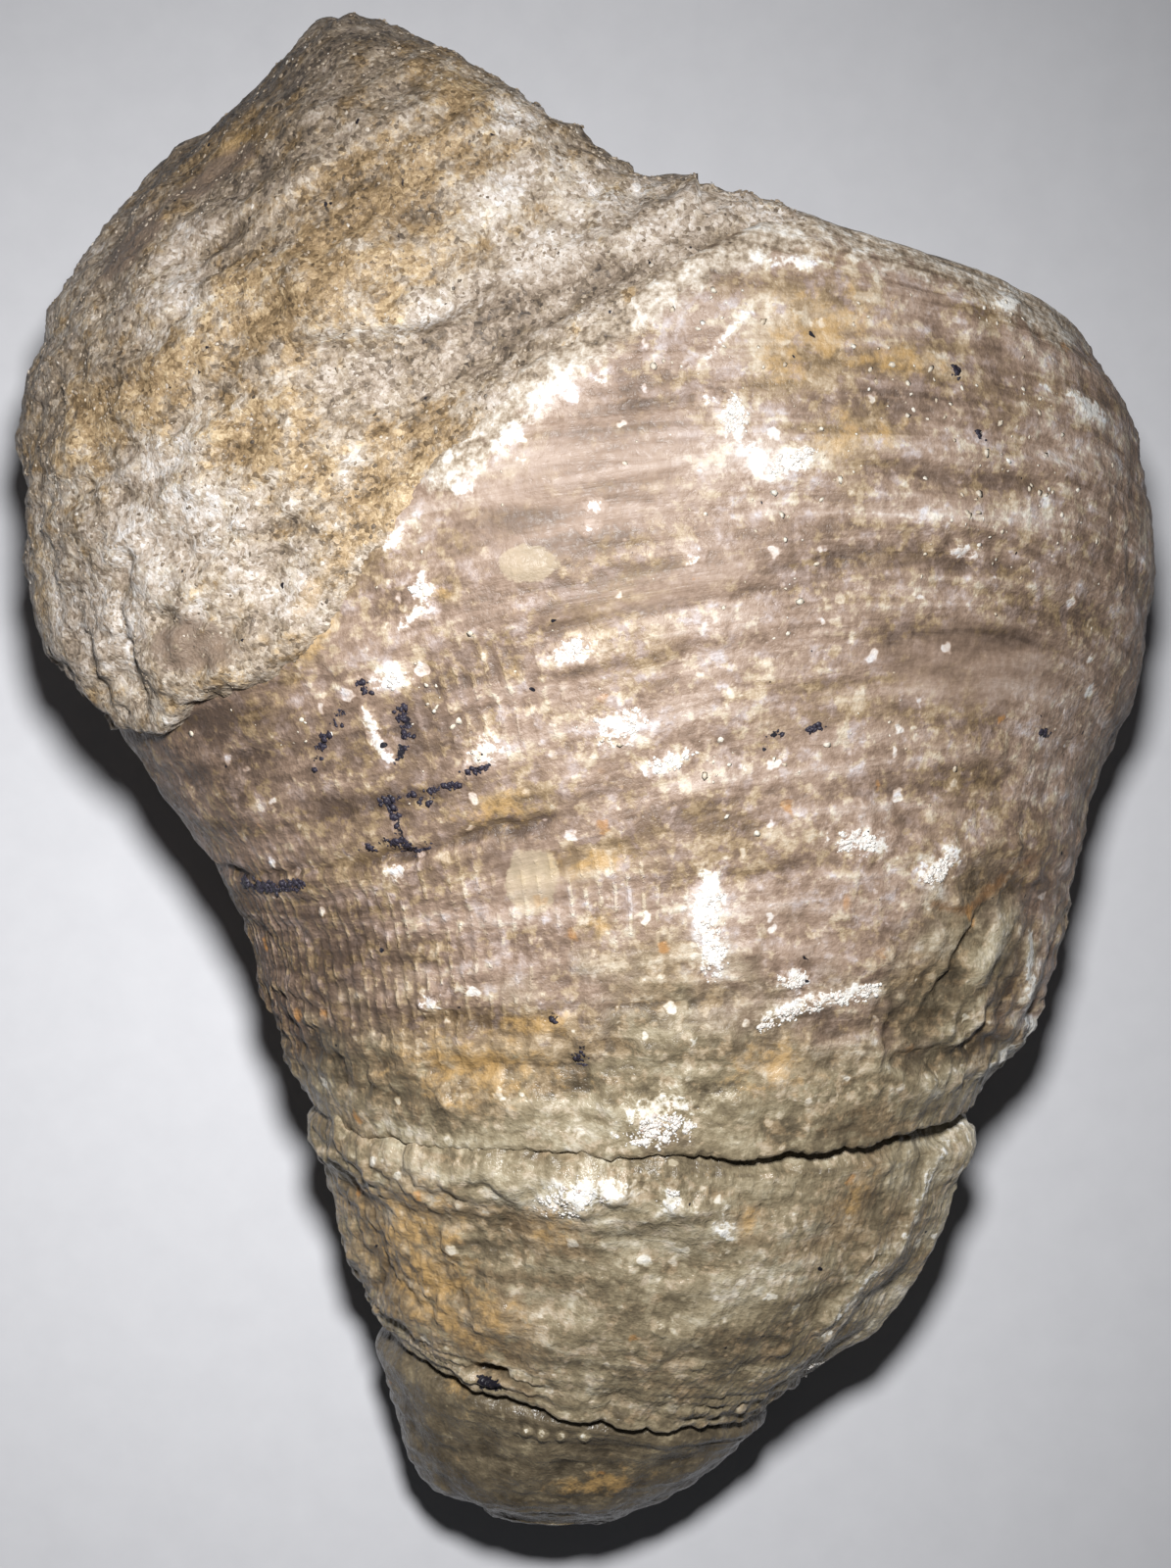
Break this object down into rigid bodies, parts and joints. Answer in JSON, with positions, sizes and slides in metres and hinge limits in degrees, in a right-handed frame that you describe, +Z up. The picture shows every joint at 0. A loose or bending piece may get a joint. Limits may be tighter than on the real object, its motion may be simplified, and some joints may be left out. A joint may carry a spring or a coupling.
{
  "type": "fossil horn coral",
  "caption": "Fossil horn coral, a stout stone cup lying on its side, with stepped growth rims and a sandy stone filling that bulges out of its mouth.",
  "frame": {"origin": "centre of the coral's bounding box in X and Y, on the level surface that it lies on", "axes": "+Y runs from the pointed first-grown end to the mouth, +Z up, +X to the right seen from above with the mouth away from the viewer"},
  "size_m": [0.0743, 0.0994, 0.0509],
  "materials": {
    "coral_stone": "semi-gloss grey-brown and tan limestone, with chalky white patches and a dull sandy filling"
  },
  "bodies": {
    "root": {"horn_coral": "coral_stone"}
  },
  "joints": []
}
